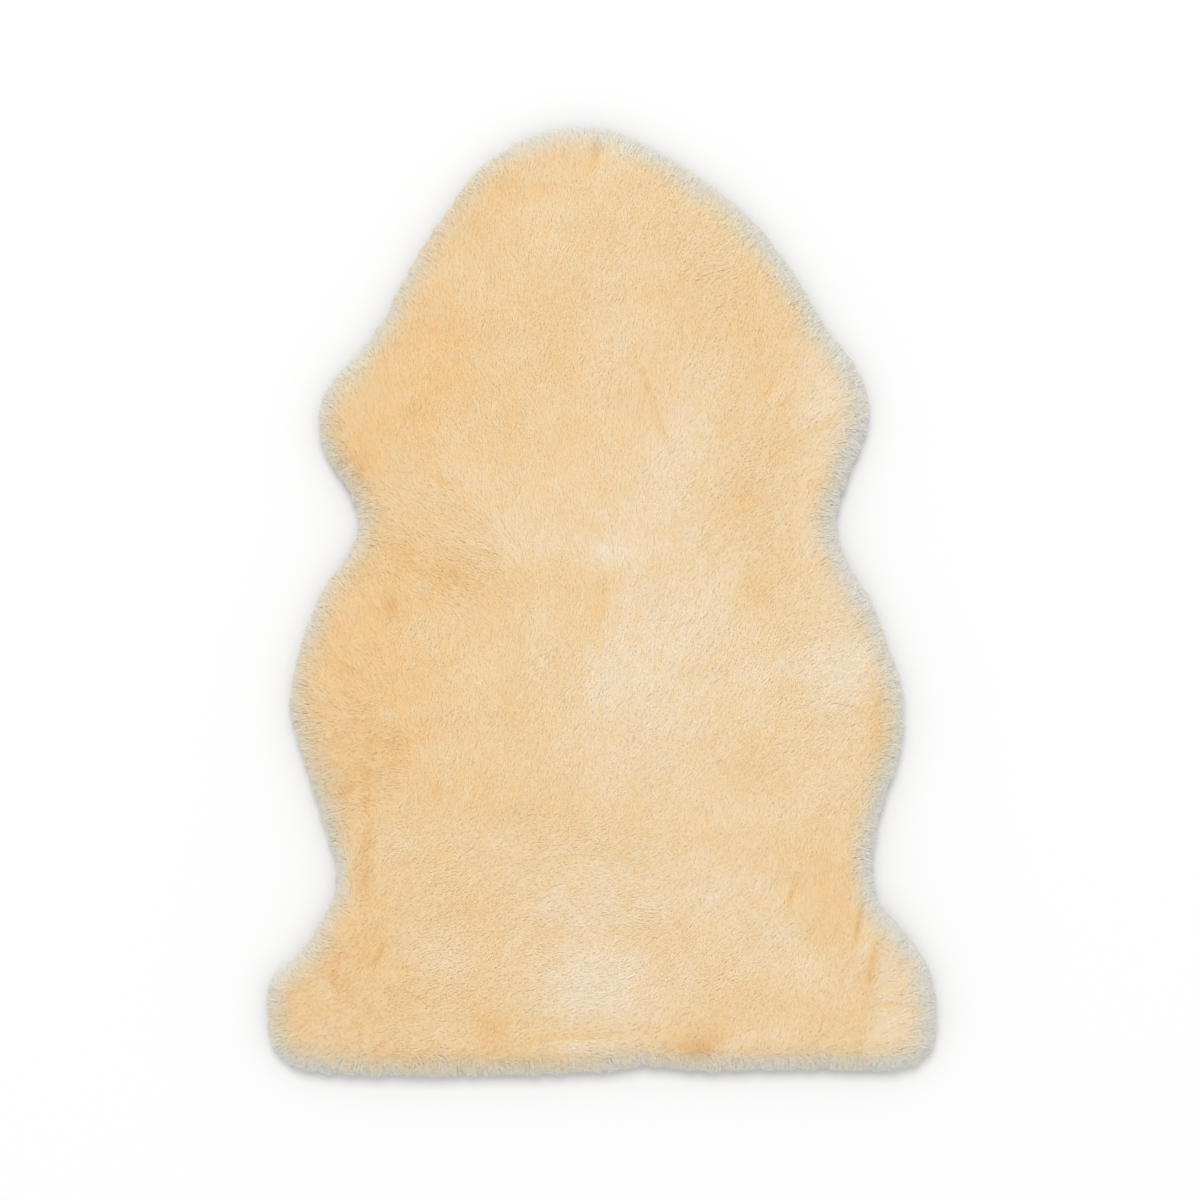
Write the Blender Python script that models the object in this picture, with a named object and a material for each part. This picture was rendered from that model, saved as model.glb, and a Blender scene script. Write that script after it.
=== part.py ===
"""A sheepskin rug: one sheared pelt lying flat on its hide, wool side up.

Metres, +Z up. The origin lies on the floor under the middle of the rug. The neck end
points to +Y, and the rump end is cut nearly straight across between two hind lobes.
The pelt is one closed solid: a flat foot of hide, a rounded rim made of wool locks, and
a sheared top face with soft swells, hollows and partings.
"""

import math

import bpy
import numpy as np
from mathutils import Vector
from mathutils.geometry import delaunay_2d_cdt

MM = 0.001

# Driving dimensions
LENGTH = 0.951  # neck to rump, over the wool
WIDTH = 0.672  # across the hind lobes, over the wool
PILE_TOP = 0.030  # floor to the sheared face of the wool

# Locks of wool along the rim
LOCK_PITCH = 0.0185
LOCK_PITCH_SPREAD = 0.35  # share by which a lock is narrower or wider than the pitch
LOCK_SIZES = (0.55, 1.45)  # least and most depth of a lock, as shares of its landmark's
LOCK_SHAPE = (-1.0, 0.25, 1.0, 0.35)  # one lock's reach from valley to valley
LOCK_SEED = 11

# Spacing of the points that carry the top face
TOP_PITCH = 0.0165
PARTING_PITCH = 0.009
PARTING_SHARE = 0.8  # share of a parting's length that its own points cover
RING_STEP = 3  # columns of the rim to each point of a row that follows it
RING_SHARE = 0.9  # least share of its inset that such a point keeps in a tight bend
LEAST_GAP = 0.006

# Broad unevenness of the sheared face
SWELL_COUNT = 60
SWELL_HEIGHT = 0.0009
SWELL_RADIUS = (0.030, 0.075)
SWELL_SEED = 5

CURVE_STEPS = 24  # points of the smooth curve between two landmarks
RIDGE_FALL = 1.5  # how fast a parting or a lip dies away across its width
MERGE_DISTANCE = 1e-7  # points this close count as one when the top face is filled
INSIDE_BORDER = 1  # delaunay_2d_cdt's kind of output that keeps only what the border holds

FLEECE_COLOUR = (0.84, 0.61, 0.34, 1.0)
FLEECE_ROUGHNESS = 0.95

# Landmarks of the outline, clockwise from the crown of the neck. Columns: name, x and y in
# millimetres, and how deep the locks are cut there, in millimetres.
OUTLINE = (
    ("neck_crown", -15, 476, 1.4),
    ("neck_crown_right", 18, 469, 1.2),
    ("neck_corner_right", 52, 453, 1.2),
    ("neck_side_right", 104, 421, 1.2),
    ("throat_right", 155, 378, 1.2),
    ("shoulder_slope_right", 198, 320, 1.2),
    ("shoulder_top_right", 228, 270, 1.4),
    ("fore_lobe_upper_right", 254, 238, 1.4),
    ("fore_lobe_tip_right", 268, 200, 1.4),
    ("fore_lobe_lower_right", 264, 164, 1.6),
    ("notch_upper_right", 247, 124, 1.6),
    ("waist_notch_right", 236, 80, 1.6),
    ("notch_lower_right", 244, 44, 1.4),
    ("flank_upper_right", 268, 4, 1.4),
    ("flank_right", 286, -42, 1.2),
    ("belly_upper_right", 300, -82, 1.2),
    ("belly_tip_right", 304, -118, 1.2),
    ("belly_lower_right", 298, -158, 1.2),
    ("loin_upper_right", 282, -208, 1.2),
    ("loin_notch_right", 272, -258, 1.4),
    ("loin_lower_right", 277, -300, 1.4),
    ("hind_slope_right", 305, -334, 1.4),
    ("hind_lobe_upper_right", 328, -368, 1.4),
    ("hind_lobe_tip_right", 336, -412, 1.4),
    ("hind_lobe_lower_right", 330, -455, 1.6),
    ("rump_corner_right", 306, -470, 1.6),
    ("rump_edge_right", 205, -472, 1.6),
    ("rump_dip_right", 92, -473, 1.6),
    ("rump_notch", 45, -469, 1.6),
    ("rump_dip_left", -4, -475, 1.8),
    ("rump_edge_middle", -90, -477, 2.0),
    ("rump_edge_left", -245, -478, 2.0),
    ("rump_corner_left", -303, -471, 2.2),
    ("hind_lobe_lower_left", -329, -452, 2.2),
    ("hind_lobe_tip_left", -336, -412, 2.2),
    ("hind_lobe_upper_left", -331, -380, 2.2),
    ("hind_shelf_left", -308, -362, 2.2),
    ("hind_slope_left", -287, -330, 2.4),
    ("loin_lower_left", -269, -296, 2.4),
    ("loin_notch_left", -268, -266, 2.2),
    ("loin_upper_left", -284, -208, 2.2),
    ("belly_lower_left", -300, -160, 2.2),
    ("belly_tip_left", -313, -108, 2.2),
    ("belly_upper_left", -308, -66, 2.4),
    ("flank_left", -295, -25, 2.4),
    ("flank_upper_left", -282, 8, 2.4),
    ("notch_lower_left", -256, 44, 2.2),
    ("waist_notch_left", -244, 74, 2.2),
    ("notch_upper_left", -253, 108, 2.2),
    ("fore_lobe_lower_left", -273, 138, 2.6),
    ("fore_lobe_tip_left", -285, 176, 2.6),
    ("fore_lobe_upper_left", -276, 212, 2.8),
    ("shoulder_shelf_left", -243, 249, 2.6),
    ("shoulder_top_left", -222, 278, 2.2),
    ("shoulder_slope_left", -194, 331, 2.0),
    ("throat_left", -157, 390, 2.0),
    ("neck_side_left", -122, 434, 1.8),
    ("neck_corner_left", -84, 461, 1.6),
    ("neck_crown_left", -48, 473, 1.6),
)

# The rim in section, from the hide's edge on the floor round to its shoulder. Columns: name,
# inset from the outline in millimetres, height as a share of PILE_TOP, and how much of the
# locks shows there.
RIM_SECTION = (
    ("hide_edge", 12.0, 0.0, 0.0),
    ("underside", 4.5, 0.08, 0.6),
    ("belly", 0.0, 0.30, 1.0),
    ("side", 1.4, 0.57, 0.9),
    ("shoulder", 6.5, 0.78, 0.5),
)
# The top face in section, from there to the full height. Columns: name, inset and height.
CROWN_SECTION = (
    ("shoulder", 6.5, 0.78),
    ("brow", 11.0, 0.877),
    ("upper_brow", 16.0, 0.94),
    ("crest", 22.0, 0.98),
    ("sheared_face", 30.0, 1.0),
)
CROWN_RINGS = (15.0, 27.0)  # insets of the rows of points that follow the rim, in millimetres

# Soft troughs where the wool parts or is combed open. Columns: name, centre x and y, length
# and width in millimetres, the way it runs in degrees from +X, and its depth in millimetres.
PARTINGS = (
    ("neck_nick", -6, 446, 34, 20, 95, 1.6),
    ("throat_nick", -90, 398, 40, 20, 40, 1.2),
    ("shoulder_hollow", -172, 266, 70, 34, 60, 1.4),
    ("long_parting", 48, 190, 92, 18, 112, 1.8),
    ("fore_lobe_parting", 171, 218, 52, 20, 60, 1.8),
    ("fore_lobe_crease_left", -264, 141, 44, 16, 25, 1.8),
    ("fore_lobe_fold_right", 236, 148, 50, 18, 50, 1.8),
    ("whorl", 146, 104, 46, 34, 10, 2.4),
    ("crimped_patch", -168, 12, 110, 42, 165, 1.4),
    ("middle_band", -8, 16, 120, 40, 92, 1.0),
    ("rim_swirl_right", 270, -44, 46, 20, 120, 1.8),
    ("flank_nick_right", 272, -95, 40, 18, 100, 1.4),
    ("loin_hollow_left", -212, -150, 60, 34, 75, 1.6),
    ("belly_hollow_left", -246, -190, 46, 26, 60, 1.4),
    ("combed_band_left", -240, -302, 96, 30, 65, 1.8),
    ("loin_nick_left", -222, -352, 44, 22, 80, 1.4),
    ("hind_crease_left", -268, -388, 62, 20, 150, 2.0),
    ("loin_nick_right", 192, -292, 64, 20, 150, 2.0),
    ("loin_slant_right", 250, -318, 66, 18, 118, 2.2),
    ("hind_arc_right", 289, -396, 74, 20, 100, 2.0),
    ("rump_hollow", 96, -452, 92, 30, 172, 2.6),
    ("rump_gap_left", -275, -462, 40, 20, 85, 2.2),
)
# Lips and low waves that stand above the face. Columns as above, with a height.
LIPS = (
    ("rump_lip", 178, -436, 120, 34, 5, 1.6),
    ("comb_wave_upper", 60, -232, 330, 46, 6, 0.9),
    ("comb_wave_middle", -60, -300, 360, 44, 3, 0.9),
    ("comb_wave_lower", -20, -372, 420, 48, 8, 1.0),
    ("fore_lobe_swell_right", 205, 176, 110, 60, 70, 0.9),
    ("fore_lobe_swell_left", -228, 186, 110, 60, 80, 1.1),
    ("hind_swell_right", 268, -430, 110, 56, 100, 1.0),
    ("hind_swell_left", -292, -428, 90, 50, 100, 1.0),
)


def remove_scene_objects():
    for old in list(bpy.data.objects):
        bpy.data.objects.remove(old, do_unlink=True)


def fitted(points):
    """Plan points stretched to WIDTH by LENGTH and centred on the origin."""
    low, high = points.min(axis=0), points.max(axis=0)
    return (points - (low + high) / 2) * (np.array((WIDTH, LENGTH)) / (high - low))


def closed_spline(points, values):
    """A smooth closed curve through points, with values blended along it.

    The curve is a centripetal Catmull-Rom spline, which doesn't loop at close landmarks.
    """
    count = len(points)
    curve, blended = [], []
    for i in range(count):
        before, start, end, after = (points[(i + k) % count] for k in (-1, 0, 1, 2))
        knots = [0.0]
        for a, b in ((before, start), (start, end), (end, after)):
            knots.append(knots[-1] + math.sqrt(np.linalg.norm(b - a)))
        t0, t1, t2, t3 = knots
        for t in np.linspace(t1, t2, CURVE_STEPS, endpoint=False):
            first = (before * (t1 - t) + start * (t - t0)) / (t1 - t0)
            second = (start * (t2 - t) + end * (t - t1)) / (t2 - t1)
            third = (end * (t3 - t) + after * (t - t2)) / (t3 - t2)
            near = (first * (t2 - t) + second * (t - t0)) / (t2 - t0)
            far = (second * (t3 - t) + third * (t - t1)) / (t3 - t1)
            share = (t - t1) / (t2 - t1)
            curve.append((near * (t2 - t) + far * (t - t1)) / (t2 - t1))
            blended.append(values[i] * (1 - share) + values[(i + 1) % count] * share)
    return np.array(curve), np.array(blended)


def arc_lengths(loop):
    """The distance run at each point of a closed loop, and the loop's whole length."""
    sides = np.linalg.norm(np.roll(loop, -1, axis=0) - loop, axis=1)
    return np.concatenate(([0.0], np.cumsum(sides)[:-1])), float(sides.sum())


def at_distances(loop, distances):
    """The points of a closed loop at these distances along it."""
    run, whole = arc_lengths(loop)
    run = np.append(run, whole)
    closed = np.vstack((loop, loop[:1]))
    return np.stack([np.interp(distances % whole, run, closed[:, k]) for k in (0, 1)], 1)


def lock_columns(whole, rng):
    """The distance of each column along the rim, and its lock's reach from -1 to 1."""
    count = round(whole / LOCK_PITCH)
    widths = rng.uniform(1 - LOCK_PITCH_SPREAD, 1 + LOCK_PITCH_SPREAD, count)
    ends = np.concatenate(([0.0], np.cumsum(widths))) * whole / widths.sum()
    columns, reaches = [], []
    for start, end in zip(ends[:-1], ends[1:]):
        size = rng.uniform(*LOCK_SIZES)
        for k, reach in enumerate(LOCK_SHAPE):
            columns.append(start + (end - start) * k / len(LOCK_SHAPE))
            reaches.append(reach * size)
    return np.array(columns), np.array(reaches)


def outward_normals(loop):
    """Unit normals of a clockwise loop, pointing out of it."""
    along = np.roll(loop, -1, axis=0) - np.roll(loop, 1, axis=0)
    outward = np.stack((-along[:, 1], along[:, 0]), 1)
    return outward / np.linalg.norm(outward, axis=1, keepdims=True)


def inset_of(loop, points):
    """How far each point lies from a closed loop."""
    ends = np.roll(loop, -1, axis=0)
    side = ends - loop
    square = (side**2).sum(axis=1)
    nearest = []
    for point in points:
        share = np.clip(((point - loop) * side).sum(axis=1) / square, 0.0, 1.0)
        nearest.append(np.linalg.norm(loop + side * share[:, None] - point, axis=1).min())
    return np.array(nearest)


def inside(loop, points):
    """Which points lie inside a closed loop, by counting the sides that a ray crosses."""
    x, y = points[:, 0], points[:, 1]
    within = np.zeros(len(points), bool)
    for (ax, ay), (bx, by) in zip(loop, np.roll(loop, -1, axis=0)):
        spans = (ay > y) != (by > y)
        if ay != by:
            within ^= spans & (x < (bx - ax) * (y - ay) / (by - ay) + ax)
    return within


def ridge(points, row):
    """The height of one long soft mound at each point, 1 at its middle and 0 past its ends."""
    _, x, y, length, width, turn, _ = row
    angle = math.radians(turn)
    offset = points - np.array((x, y)) * MM
    along = offset @ np.array((math.cos(angle), math.sin(angle))) / (length * MM / 2)
    across = offset @ np.array((-math.sin(angle), math.cos(angle))) / (width * MM / 2)
    return np.clip(1 - along**2, 0, 1) ** 2 * np.exp(-RIDGE_FALL * across**2)


def swells():
    """Seeded broad swells and hollows: centres, radii and heights."""
    rng = np.random.default_rng(SWELL_SEED)
    centres = rng.uniform((-WIDTH / 2, -LENGTH / 2), (WIDTH / 2, LENGTH / 2), (SWELL_COUNT, 2))
    radii = rng.uniform(*SWELL_RADIUS, SWELL_COUNT)
    heights = rng.uniform(-SWELL_HEIGHT, SWELL_HEIGHT, SWELL_COUNT)
    return zip(centres, radii, heights)


def relief(points):
    """How far the sheared face stands above or below its mean height."""
    height = np.zeros(len(points))
    for centre, radius, rise in swells():
        height += rise * np.exp(-(((points - centre) / radius) ** 2).sum(axis=1))
    for row in PARTINGS:
        height -= row[-1] * MM * ridge(points, row)
    for row in LIPS:
        height += row[-1] * MM * ridge(points, row)
    return height


def top_heights(points, outline):
    """The height of the top face at each point, falling to the rim by CROWN_SECTION."""
    insets = [inset * MM for _, inset, _ in CROWN_SECTION]
    shares = [share for _, _, share in CROWN_SECTION]
    inset = inset_of(outline, points)
    crown = np.interp(inset, insets, shares) * PILE_TOP
    return crown + relief(points) * np.clip(inset / insets[-1], 0.0, 1.0)


def spaced(points, others, gap):
    """The points that lie at least gap from each one kept before and from the others."""
    kept = list(others)
    chosen = []
    for point in points:
        if not kept or np.linalg.norm(np.array(kept) - point, axis=1).min() >= gap:
            kept.append(point)
            chosen.append(point)
    return np.array(chosen)


def parting_points():
    """Points along the middle of each parting, so that its trough is drawn sharply."""
    found = []
    for _, x, y, length, _, turn, _ in PARTINGS:
        angle = math.radians(turn)
        way = np.array((math.cos(angle), math.sin(angle)))
        reach = PARTING_SHARE * length * MM / 2
        for offset in np.linspace(-reach, reach, round(2 * reach / PARTING_PITCH) + 1):
            found.append(np.array((x, y)) * MM + way * offset)
    return np.array(found)


def hex_grid():
    """A triangular grid of points over the whole rug."""
    row_gap = TOP_PITCH * math.sqrt(3) / 2
    found = []
    for row, y in enumerate(np.arange(-LENGTH / 2, LENGTH / 2, row_gap)):
        start = -WIDTH / 2 + (row % 2) * TOP_PITCH / 2
        found += [(x, y) for x in np.arange(start, WIDTH / 2, TOP_PITCH)]
    return np.array(found)


def top_points(outline, normals):
    """The points that carry the top face inside the rim: rows that follow the rim, the
    partings' middles, and a grid, each kept clear of the ones before it."""
    candidates = []
    for ring in CROWN_RINGS:
        row = (outline - normals * ring * MM)[::RING_STEP]
        candidates.append((row, RING_SHARE * ring * MM))
    candidates.append((parting_points(), RIM_SECTION[-1][1] * MM + LEAST_GAP))
    candidates.append((hex_grid(), CROWN_RINGS[-1] * MM + LEAST_GAP))
    kept = np.empty((0, 2))
    for points, least_inset in candidates:
        points = points[inside(outline, points)]
        points = points[inset_of(outline, points) > least_inset]
        kept = np.vstack((kept, spaced(points, kept, LEAST_GAP)))
    return kept


def banded(lower, upper):
    """Quads between two rings of vertex numbers, facing out of a clockwise rim."""
    return list(zip(upper, np.roll(upper, -1), np.roll(lower, -1), lower))


def filled(plan, ring, inner):
    """Upward triangles that fill a ring of vertex numbers through its inner ones."""
    numbers = np.concatenate((ring, inner))
    points = [Vector(point) for point in plan[numbers]]
    border = list(range(len(ring)))
    filling = delaunay_2d_cdt(points, [], [border], INSIDE_BORDER, MERGE_DISTANCE)
    _, _, triangles, origins, _, _ = filling
    return [tuple(numbers[origins[corner][0]] for corner in face) for face in triangles]


def rim_rings(outline, normals, locks):
    """The plan points and heights of each ring in RIM_SECTION."""
    plan, heights = [], []
    for _, inset, share, lock_share in RIM_SECTION:
        plan.append(outline + normals * (locks * lock_share - inset * MM)[:, None])
        heights.append(np.full(len(outline), share * PILE_TOP))
    return plan, heights


def pelt_mesh():
    landmarks = np.array([(x, y) for _, x, y, _ in OUTLINE]) * MM
    curve, depths = closed_spline(landmarks, [depth * MM for *_, depth in OUTLINE])
    run, whole = arc_lengths(curve)
    columns, reaches = lock_columns(whole, np.random.default_rng(LOCK_SEED))
    outline = at_distances(curve, columns)
    normals = outward_normals(outline)
    locks = reaches * np.interp(columns, run, depths) / 2

    plan, heights = rim_rings(outline, normals, locks)
    plan.append(top_points(outline, normals))
    heights.append(top_heights(plan[-1], outline))
    ends = np.cumsum([len(part) for part in plan])
    *rings, inner = np.split(np.arange(ends[-1]), ends[:-1])
    plan, heights = fitted(np.vstack(plan)), np.concatenate(heights)

    faces = [face for pair in zip(rings[:-1], rings[1:]) for face in banded(*pair)]
    faces += filled(plan, rings[-1], inner)
    faces += [face[::-1] for face in filled(plan, rings[0], inner[:0])]
    faces = [[int(corner) for corner in face] for face in faces]

    mesh = bpy.data.meshes.new("sheepskin")
    mesh.from_pydata(np.column_stack((plan, heights)).tolist(), [], faces)
    mesh.shade_smooth()
    return mesh


def fleece_material():
    material = bpy.data.materials.new("fleece")
    material.use_nodes = True
    shader = material.node_tree.nodes["Principled BSDF"]
    shader.inputs["Base Color"].default_value = FLEECE_COLOUR
    shader.inputs["Roughness"].default_value = FLEECE_ROUGHNESS
    shader.inputs["Metallic"].default_value = 0.0
    return material


def make_sheepskin():
    mesh = pelt_mesh()
    mesh.materials.append(fleece_material())
    pelt = bpy.data.objects.new("sheepskin", mesh)
    bpy.context.scene.collection.objects.link(pelt)
    return pelt


remove_scene_objects()
make_sheepskin()
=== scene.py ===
"""The looks of a sheared sheepskin rug that lies flat on a pale floor, seen from straight above.

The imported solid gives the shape. A suede hide lies under it, a lumpy body of underwool fills it, and the
pile is a few joined meshes of short wool blades. They are rooted in the body, and their tips lie close to
the solid's face. The neck points along +Y. Tables of places are in millimetres and degrees. Elsewhere
lengths are in metres, unless a line says otherwise, and angles in degrees.
"""

import math
from collections import namedtuple

import bmesh
import bpy
import numpy as np
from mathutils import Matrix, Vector
from mathutils.geometry import delaunay_2d_cdt
from mathutils.kdtree import KDTree


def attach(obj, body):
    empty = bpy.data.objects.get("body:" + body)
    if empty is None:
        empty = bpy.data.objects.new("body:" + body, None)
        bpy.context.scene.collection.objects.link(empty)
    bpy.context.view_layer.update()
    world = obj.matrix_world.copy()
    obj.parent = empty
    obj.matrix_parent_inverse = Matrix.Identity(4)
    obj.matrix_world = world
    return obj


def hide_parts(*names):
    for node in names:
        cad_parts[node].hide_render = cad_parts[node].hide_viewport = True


MM = 0.001

# The photograph: its frame's width and middle at the view's level, and a long lens straight above.
VIEW_WIDTH = 1.200
VIEW_CENTRE = (-0.0015, 0.0015)
VIEW_LEVEL = 0.009
LENS = 120.0
SENSOR = 36.0

# How the solid is read: as even nets of small faces, by its widest line, and by its flat underside.
MERGE_DISTANCE = 1e-6
SAMPLE_VOXEL = 0.004
BODY_VOXEL = 0.006
SMOOTHING_FACTOR = 0.5
SMOOTHING_STEPS = 6
RIM_SHARES = (0.0, 0.33, 0.67)  # places along each edge of the widest line
RIM_NEIGHBOURS = 12  # how many of those places give the way out of the pelt
FLAT_LEVEL = 0.0002  # the flat underside has no corner above this

# The underwool: its depth under the solid's face, what the rim adds to that, and its tufts.
BODY_DEPTH = 0.00175
BODY_RIM_DEPTH = 0.0017
BODY_TUFT = 0.0002
BODY_TUFT_PITCH = 0.006
BODY_TUFT_SEED = 21
BODY_ALONG = 0.5  # it is coloured as a blade is this far along

# The hide: its grid of points, its hollows, and the wave of its cut edge.
HIDE_THICKNESS = 0.0014
HIDE_GRID = 0.010
HIDE_HOLLOW = 0.0004
HIDE_EDGE_WAVE = 0.0006
HIDE_EDGE_PITCH = 0.012
HIDE_EDGE_SEED = 31
HIDE_MERGE = 1e-7  # points this close count as one when the outline is filled
INSIDE_BORDER = 1  # delaunay_2d_cdt's kind of output that keeps only what the outline holds

# The pile: blades per square metre, and each blade's size and lie.
PILE_SEED = 29
BLADE_SEED = PILE_SEED + 100
LOCK_SEED = BLADE_SEED + 1
BLADES_PER_AREA = 550000.0
UNDERSIDE_LIMIT = -0.93  # no blade stands on a face whose normal points further down than this
EVEN_STEPS = (0.7548776662, 0.5698402910)  # steps of an even sequence in two dimensions
BLADE_LENGTH = 0.0096
BLADE_LENGTH_SPREAD = 0.22
BLADE_LENGTH_RANGE = (0.6, 1.6)  # least and most, as shares
BLADE_WIDTH = 0.00150
BLADE_WIDTH_SPREAD = 0.30
BLADE_WIDTH_RANGE = (0.5, 1.8)
BASE_WIDTH_SHARE = 0.9
LEAN_INSIDE = 73.0  # leans are measured from the surface's normal
LEAN_RIM = 46.0
LEAN_SPREAD = 3.0
LEAN_RANGE = (8.0, 80.0)
BEND = 9.0
TURN_SPREAD = 9.0
CURL_SPREAD = 7.0
ROLL_SPREAD = 5.0
TIP_LIFT = (-0.0004, 0.0002)  # least and most height of a tip above the solid's face
RIM_TIP_LIFT = (-0.0010, 0.0021)
FLOOR_GAP = 0.0003

# The rim: how far in it reaches, and how the wool turns out, catches light and grows pale there. Its pale
# colour is paler wool greyed with painted shade, for the rim that curves away from the light.
RIM_BAND = 0.034
RIM_FALL = 1.2
RIM_TURN = (0.05, 0.85)  # shares of the rim at which the wool starts and ends its turn outwards
RIM_LIGHT = 0.65
PALE_SHADE_BAND = 0.029
PALE_SHADE_STRENGTH = 1.35
PALE_SHADE_FALL = 1.6
PALE_SHADE_BY_TONE = (0.90, 0.35)  # for a middle tone, and what a pale tone adds
PALE_SHADE_STRAY = (0.0012, 0.0020)  # how far the band strays with a lock's lean, and at random
PALE_SHADE_WAVER = 0.010
WALL_PALE_SHADE = 0.50
WALL_RISE = (-0.45, 0.15)  # the wall ends as its normal's upward part goes from the first to the second
WALL_TONE = 1.6

# Locks of wool: their pitch, and how their blades turn, lean, draw together, lift, curl and colour alike.
LOCK_PITCH = 0.0085
LOCK_TURN = 9.0
LOCK_LEAN = 4.0
LOCK_CURL = 9.0
LOCK_DRAW = 0.05
LOCK_LIFT = 0.0003
LOCK_RIM_LIFT = 0.0011
LOCK_TONE = 0.16
BLADE_TONE = 0.03  # each blade's own

# Soft ridges that run the way the wool lies. Their tone is painted light on the ridges' tops and painted
# shade in the furrows between them.
COMB_PITCH = 0.0055
COMB_REACH = 0.012
COMB_STEPS = 7
COMB_GAIN = 2.0
COMB_SEED = 17
COMB_LIFT = 0.0005
COMB_LIGHT_AND_SHADE = 0.20

# Unevenness, as layers of soft noise. Columns: strength, size of the bumps, seed.
NAP_TURNS = ((22.0, 0.055, 3), (12.0, 0.022, 4))
TONE_CLOUDS = ((0.30, 0.085, 7), (0.22, 0.030, 8), (0.14, 0.012, 9))
STAND_LAYERS = ((0.25, 0.040, 11), (0.15, 0.016, 12))
STAND_BASE = 0.85
RIM_WAVERS = ((0.25, 0.045, 13), (0.10, 0.018, 14))
HIDE_HOLLOWS = ((1.0, 0.028, 33), (0.5, 0.011, 34))
NOISE_SIDE = 256  # cells along each side of the noise's lattice

# Which way the wool's tips point over each part of the pelt: name, x, y, direction.
NAP = (
    ("crown", -20, 445, 85),
    ("neck_left", -120, 385, 88),
    ("neck_middle", 0, 370, 60),
    ("neck_right", 115, 370, 42),
    ("cheek_left", -175, 310, 82),
    ("fore_left", -125, 255, 92),
    ("fore_middle", -10, 275, 62),
    ("fore_right", 70, 265, 72),
    ("cheek_right", 180, 310, 44),
    ("fore_lobe_left", -250, 190, 112),
    ("shoulder_left", -180, 190, 90),
    ("withers", -20, 195, 72),
    ("withers_right", 90, 185, 75),
    ("shoulder_right", 170, 200, 56),
    ("fore_lobe_right", 240, 200, 38),
    ("waist_left", -195, 90, 160),
    ("waist_crimps", -160, 25, 168),
    ("back_middle", -40, 90, 84),
    ("back_right", 85, 80, 72),
    ("waist_right", 190, 80, 46),
    ("belly_left", -270, -60, 140),
    ("flank_left", -180, -40, 66),
    ("spine", 0, -40, 64),
    ("flank_right", 130, -40, 70),
    ("belly_right", 250, -60, 33),
    ("belly_low_left", -250, -160, 200),
    ("loin_left", -130, -160, 60),
    ("loin_middle", 30, -160, 56),
    ("loin_right", 150, -165, 48),
    ("loin_rim_right", 235, -165, 52),
    ("rump_left", -200, -260, 30),
    ("rump_middle_left", -100, -270, 30),
    ("rump_middle", 10, -290, 12),
    ("rump_right", 130, -280, 42),
    ("hip_right", 235, -290, 64),
    ("tail_left", -190, -380, 22),
    ("tail_middle", -30, -390, 16),
    ("tail_right", 120, -390, 48),
    ("hind_lobe_left", -290, -400, 208),
    ("hind_inner_right", 225, -395, 70),
    ("hind_lobe_right", 300, -400, 30),
)
NAP_REACH = 30.0  # in millimetres, as in the table

# Where the wool lies smoother and closer than elsewhere: name, x, y, length, width, turn, share.
CALM = (
    ("calm_rump", 0, -285, 400, 240, 12, 0.55),
    ("calm_loin", 110, -120, 260, 160, 80, 0.20),
)
CALM_RISE = 0.0004
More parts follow.
